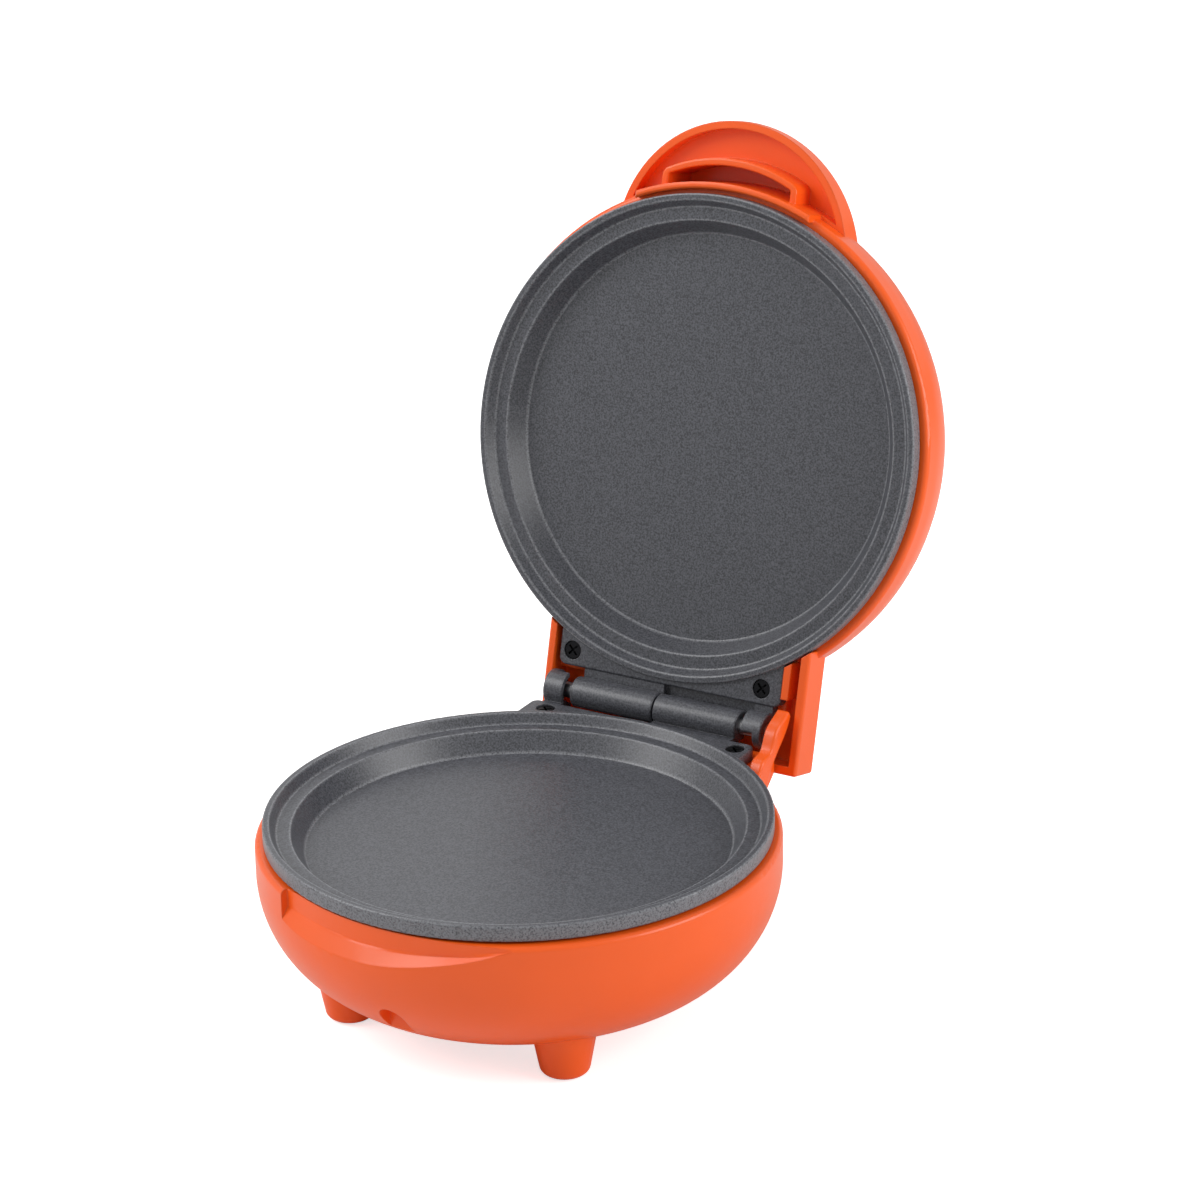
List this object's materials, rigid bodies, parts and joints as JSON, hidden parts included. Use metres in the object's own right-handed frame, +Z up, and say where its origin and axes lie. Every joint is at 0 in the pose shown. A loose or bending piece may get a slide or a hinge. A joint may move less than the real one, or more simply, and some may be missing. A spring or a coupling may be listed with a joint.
{
  "type": "pancake maker",
  "caption": "Round countertop pancake maker standing open: bowl-shaped base on stud feet, hinged domed lid with a crescent handle, and two dished non-stick cooking plates.",
  "frame": {"origin": "middle of the bounding box at the ends of the feet, with the lid standing open", "axes": "+Z up, -Y the front with the handle side of the base, +Y towards the hinge, +X to the right seen from the front"},
  "size_m": [0.127, 0.1936, 0.1898],
  "materials": {
    "orange_plastic": "satin gloss moulded orange",
    "pad_rubber": "matt black rubber",
    "nonstick_casting": "dark grey grained non-stick coating on cast aluminium",
    "black_steel": "blackened steel",
    "heater_steel": "dull steel sheath",
    "white_ceramic": "cream ceramic",
    "reflector_sheet": "bright sheet",
    "plated_steel": "zinc plated",
    "thermostat_body": "brown phenolic",
    "fuse_case": "plain metal case",
    "terminal_brass": "plain brass",
    "lead_insulation": "cream glass-braided sleeve",
    "black_plastic": "matt black",
    "lens_red": "clear red lens",
    "lamp_glass": "clear neon lamp"
  },
  "bodies": {
    "base": {"base_housing": "orange_plastic", "foot_pads": "pad_rubber", "lower_plate": "nonstick_casting", "lower_plate_screws": "black_steel", "lower_heater": "heater_steel", "lower_heater_ends": "white_ceramic", "lower_reflector": "reflector_sheet", "lower_reflector_screws": "plated_steel", "thermostat": "thermostat_body", "thermostat_screws": "plated_steel", "thermal_fuse": "fuse_case", "fuse_clip": "plated_steel", "terminal_block": "white_ceramic", "terminal_screws": "terminal_brass", "base_leads": "lead_insulation", "cord_bush": "black_plastic", "hinge_pins": "plated_steel"},
    "lid": {"lid_housing": "orange_plastic", "upper_plate": "nonstick_casting", "upper_plate_screws": "black_steel", "upper_heater": "heater_steel", "upper_heater_ends": "white_ceramic", "upper_reflector": "reflector_sheet", "upper_reflector_screws": "plated_steel", "indicator_lens": "lens_red", "indicator_lamp": "lamp_glass", "lid_leads": "lead_insulation"}
  },
  "joints": [
    {"name": "lid_hinge", "type": "hinge", "parent": "base", "child": "lid", "pos_m": [0, 0.0357, 0.0483], "axis": [1, 0, 0], "range_deg": [0, 104.9]}
  ]
}
